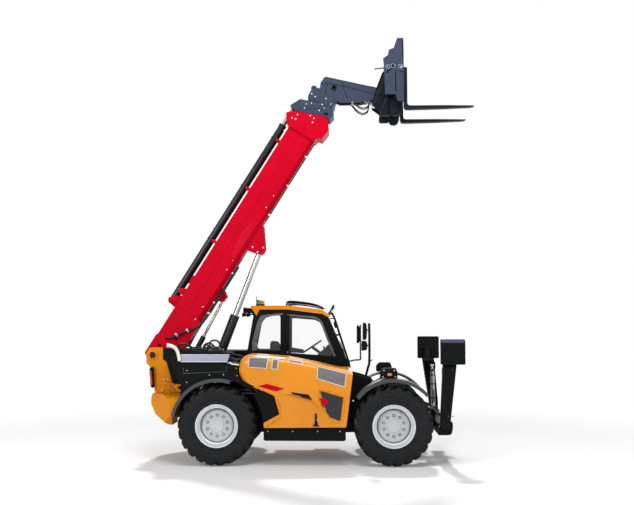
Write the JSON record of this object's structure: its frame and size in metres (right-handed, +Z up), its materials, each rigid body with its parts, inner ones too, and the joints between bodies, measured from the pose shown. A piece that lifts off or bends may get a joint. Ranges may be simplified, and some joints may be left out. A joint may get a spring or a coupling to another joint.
{
  "type": "telehandler",
  "caption": "Telescopic handler with raised multi-section boom, pallet forks, side cab, four steered wheels and front stabilisers.",
  "frame": {"origin": "on the ground on the centre line, half way between the axles", "axes": "+X forward along the machine, +Y to its left, where the cab is, +Z up"},
  "size_m": [5.6517, 2.36, 7.132],
  "materials": {
    "boom_red": "gloss paint",
    "head_slate": "satin paint",
    "body_orange": "gloss paint",
    "frame_black": "satin paint",
    "panel_black": "moulded",
    "fender_grey": "moulded",
    "barrel_grey": "satin paint",
    "rim_silver": "satin paint",
    "tyre": "moulded rubber",
    "glass": "clear",
    "rod_chrome": "hard chrome",
    "cylinder_black": "satin paint",
    "fork_steel": "worn black",
    "seat_vinyl": "grained vinyl",
    "lamp": "moulded",
    "engine": "cast"
  },
  "bodies": {
    "chassis": {"chassis_frame": "frame_black", "boom_tower": "body_orange", "counterweight": "body_orange", "axles": "frame_black", "engine_block": "engine", "side_tanks": "panel_black", "exhaust_pipe": "rim_silver", "fenders": "fender_grey", "side_skirt": "panel_black", "cab_tub": "body_orange", "cab_frame": "frame_black", "cab_roof": "body_orange", "cab_glass": "glass", "roof_guard": "frame_black", "seat": "seat_vinyl", "dashboard": "panel_black", "mirrors": "panel_black", "lamps": "lamp", "stabiliser_beam": "frame_black"},
    "hood": {"engine_hood": "body_orange", "arch_panel": "panel_black"},
    "door": {"cab_door": "body_orange", "door_glass": "glass"},
    "boom_outer": {"boom_outer": "boom_red", "telescope_barrel": "cylinder_black"},
    "boom_2": {"boom_section_2": "head_slate", "telescope_rod": "rod_chrome"},
    "boom_3": {"boom_section_3": "head_slate"},
    "boom_head": {"boom_section_4": "head_slate"},
    "carriage": {"quick_hitch": "frame_black", "fork_carriage": "head_slate", "forks": "fork_steel"},
    "lift_barrel": {"lift_cylinder_barrel": "cylinder_black"},
    "lift_rod": {"lift_cylinder_rod": "rod_chrome"},
    "levelling_barrel": {"levelling_cylinder_barrel": "cylinder_black"},
    "levelling_rod": {"levelling_cylinder_rod": "rod_chrome"},
    "tilt_barrel": {"tilt_cylinder_barrel": "cylinder_black"},
    "tilt_rod": {"tilt_cylinder_rod": "rod_chrome"},
    "steering_rod_front": {"steering_rod_front": "rod_chrome"},
    "steering_rod_rear": {"steering_rod_rear": "rod_chrome"},
    "knuckle_front_left": {"knuckle_front_left": "frame_black"},
    "wheel_front_left": {"rim_front_left": "rim_silver", "tyre_front_left": "tyre"},
    "knuckle_front_right": {"knuckle_front_right": "frame_black"},
    "wheel_front_right": {"rim_front_right": "rim_silver", "tyre_front_right": "tyre"},
    "knuckle_rear_left": {"knuckle_rear_left": "frame_black"},
    "wheel_rear_left": {"rim_rear_left": "rim_silver", "tyre_rear_left": "tyre"},
    "knuckle_rear_right": {"knuckle_rear_right": "frame_black"},
    "wheel_rear_right": {"rim_rear_right": "rim_silver", "tyre_rear_right": "tyre"},
    "leg_left": {"stabiliser_leg_left": "frame_black"},
    "foot_left": {"stabiliser_foot_left": "frame_black"},
    "leg_barrel_left": {"stabiliser_barrel_left": "barrel_grey"},
    "leg_rod_left": {"stabiliser_rod_left": "rod_chrome"},
    "leg_right": {"stabiliser_leg_right": "frame_black"},
    "foot_right": {"stabiliser_foot_right": "frame_black"},
    "leg_barrel_right": {"stabiliser_barrel_right": "barrel_grey"},
    "leg_rod_right": {"stabiliser_rod_right": "rod_chrome"}
  },
  "joints": [
    {"name": "boom_lift", "type": "hinge", "parent": "chassis", "child": "boom_outer", "pos_m": [-2.644, 0, 1.743], "axis": [0, 1, 0], "range_deg": [-10, 62.5]},
    {"name": "boom_extend_2", "type": "slide", "parent": "boom_outer", "child": "boom_2", "axis": [0.5299, 0, 0.848], "range_m": [0, 3.4]},
    {"name": "boom_extend_3", "type": "slide", "parent": "boom_2", "child": "boom_3", "axis": [0.5299, 0, 0.848], "range_m": [0, 3.4]},
    {"name": "boom_extend_4", "type": "slide", "parent": "boom_3", "child": "boom_head", "axis": [0.5299, 0, 0.848], "range_m": [0, 3.4]},
    {"name": "fork_tilt", "type": "hinge", "parent": "boom_head", "child": "carriage", "pos_m": [1.23463, 0, 6.28948], "axis": [0, 1, 0], "range_deg": [-75, 45]},
    {"name": "lift_barrel_swing", "type": "hinge", "parent": "chassis", "child": "lift_barrel", "pos_m": [-1.838, 0, 0.938], "axis": [0, 1, 0], "range_deg": [-11, 65]},
    {"name": "lift_rod_slide", "type": "slide", "parent": "lift_barrel", "child": "lift_rod", "axis": [0.3563, 0, 0.9344], "range_m": [-1.19, 0.21]},
    {"name": "levelling_barrel_swing", "type": "hinge", "parent": "chassis", "child": "levelling_barrel", "pos_m": [-2.3, 0, 1.15], "axis": [0, 1, 0], "range_deg": [-11, 61]},
    {"name": "levelling_rod_slide", "type": "slide", "parent": "levelling_barrel", "child": "levelling_rod", "axis": [0.4684, 0, 0.8835], "range_m": [-0.73, 0.13]},
    {"name": "tilt_barrel_swing", "type": "hinge", "parent": "boom_head", "child": "tilt_barrel", "pos_m": [0.46125, 0, 6.42371], "axis": [0, 1, 0], "range_deg": [-6, 4]},
    {"name": "tilt_rod_slide", "type": "slide", "parent": "tilt_barrel", "child": "tilt_rod", "axis": [0.9211, 0, -0.3892], "range_m": [-0.13, 0.21]},
    {"name": "steer_front_left", "type": "hinge", "parent": "chassis", "child": "knuckle_front_left", "pos_m": [1.425, 0.85, 0.64], "axis": [0, 0, 1], "range_deg": [-35, 35]},
    {"name": "wheel_front_left_spin", "type": "hinge", "parent": "knuckle_front_left", "child": "wheel_front_left", "pos_m": [1.425, 0.98, 0.64], "axis": [0, 1, 0], "continuous": true},
    {"name": "steer_front_right", "type": "hinge", "parent": "chassis", "child": "knuckle_front_right", "pos_m": [1.425, -0.85, 0.64], "axis": [0, 0, 1], "range_deg": [-35, 35]},
    {"name": "wheel_front_right_spin", "type": "hinge", "parent": "knuckle_front_right", "child": "wheel_front_right", "pos_m": [1.425, -0.98, 0.64], "axis": [0, 1, 0], "continuous": true},
    {"name": "steering_rod_front_slide", "type": "slide", "parent": "chassis", "child": "steering_rod_front", "axis": [0, 1, 0], "range_m": [-0.09, 0.09]},
    {"name": "steer_rear_left", "type": "hinge", "parent": "chassis", "child": "knuckle_rear_left", "pos_m": [-1.425, 0.85, 0.64], "axis": [0, 0, 1], "range_deg": [-35, 35]},
    {"name": "wheel_rear_left_spin", "type": "hinge", "parent": "knuckle_rear_left", "child": "wheel_rear_left", "pos_m": [-1.425, 0.98, 0.64], "axis": [0, 1, 0], "continuous": true},
    {"name": "steer_rear_right", "type": "hinge", "parent": "chassis", "child": "knuckle_rear_right", "pos_m": [-1.425, -0.85, 0.64], "axis": [0, 0, 1], "range_deg": [-35, 35]},
    {"name": "wheel_rear_right_spin", "type": "hinge", "parent": "knuckle_rear_right", "child": "wheel_rear_right", "pos_m": [-1.425, -0.98, 0.64], "axis": [0, 1, 0], "continuous": true},
    {"name": "steering_rod_rear_slide", "type": "slide", "parent": "chassis", "child": "steering_rod_rear", "axis": [0, 1, 0], "range_m": [-0.09, 0.09]},
    {"name": "cab_door_hinge", "type": "hinge", "parent": "chassis", "child": "door", "pos_m": [-0.43, 1.165, 1.6], "axis": [0, 0, 1], "range_deg": [0, 90]},
    {"name": "engine_hood_hinge", "type": "hinge", "parent": "chassis", "child": "hood", "pos_m": [-0.16, -0.402, 1.745], "axis": [-1, 0, 0], "range_deg": [0, 60]},
    {"name": "stabiliser_left_swing", "type": "hinge", "parent": "chassis", "child": "leg_left", "pos_m": [2.258, 1.01, 0.64], "axis": [-1, 0, 0], "range_deg": [0, 115]},
    {"name": "stabiliser_foot_left_tilt", "type": "hinge", "parent": "leg_left", "child": "foot_left", "pos_m": [2.161, 1.075, 1.83], "axis": [1, 0, 0], "range_deg": [-5, 30]},
    {"name": "stabiliser_barrel_left_swing", "type": "hinge", "parent": "chassis", "child": "leg_barrel_left", "pos_m": [2.235, 0.76, 0.78], "axis": [-1, 0, 0], "range_deg": [-1, 104]},
    {"name": "stabiliser_rod_left_slide", "type": "slide", "parent": "leg_barrel_left", "child": "leg_rod_left", "axis": [0, 0.1909, 0.9816], "range_m": [-0.01, 0.48]},
    {"name": "stabiliser_right_swing", "type": "hinge", "parent": "chassis", "child": "leg_right", "pos_m": [2.258, -1.01, 0.64], "axis": [1, 0, 0], "range_deg": [0, 115]},
    {"name": "stabiliser_foot_right_tilt", "type": "hinge", "parent": "leg_right", "child": "foot_right", "pos_m": [2.333, -1.075, 1.83], "axis": [-1, 0, 0], "range_deg": [-5, 30]},
    {"name": "stabiliser_barrel_right_swing", "type": "hinge", "parent": "chassis", "child": "leg_barrel_right", "pos_m": [2.275, -0.76, 0.78], "axis": [1, 0, 0], "range_deg": [-1, 104]},
    {"name": "stabiliser_rod_right_slide", "type": "slide", "parent": "leg_barrel_right", "child": "leg_rod_right", "axis": [0, -0.1909, 0.9816], "range_m": [-0.01, 0.48]}
  ],
  "couplings": [
    {"joint": "boom_extend_3", "follows": "boom_extend_2", "ratio": 1},
    {"joint": "boom_extend_4", "follows": "boom_extend_2", "ratio": 1},
    {"joint": "lift_barrel_swing", "follows": "boom_lift", "ratio": 1.02},
    {"joint": "lift_rod_slide", "follows": "boom_lift", "m_per_rad": -1.07},
    {"joint": "levelling_barrel_swing", "follows": "boom_lift", "ratio": 0.946},
    {"joint": "levelling_rod_slide", "follows": "boom_lift", "m_per_rad": -0.65},
    {"joint": "tilt_barrel_swing", "follows": "fork_tilt", "ratio": 0.0615},
    {"joint": "tilt_rod_slide", "follows": "fork_tilt", "m_per_rad": -0.1479},
    {"joint": "steer_front_right", "follows": "steer_front_left", "ratio": 1},
    {"joint": "steering_rod_front_slide", "follows": "steer_front_left", "m_per_rad": -0.1408},
    {"joint": "steer_rear_right", "follows": "steer_rear_left", "ratio": 1},
    {"joint": "steering_rod_rear_slide", "follows": "steer_rear_left", "m_per_rad": 0.1408},
    {"joint": "stabiliser_barrel_left_swing", "follows": "stabiliser_left_swing", "ratio": 0.8924},
    {"joint": "stabiliser_rod_left_slide", "follows": "stabiliser_left_swing", "m_per_rad": 0.23025},
    {"joint": "stabiliser_barrel_right_swing", "follows": "stabiliser_right_swing", "ratio": 0.8924},
    {"joint": "stabiliser_rod_right_slide", "follows": "stabiliser_right_swing", "m_per_rad": 0.23025}
  ]
}
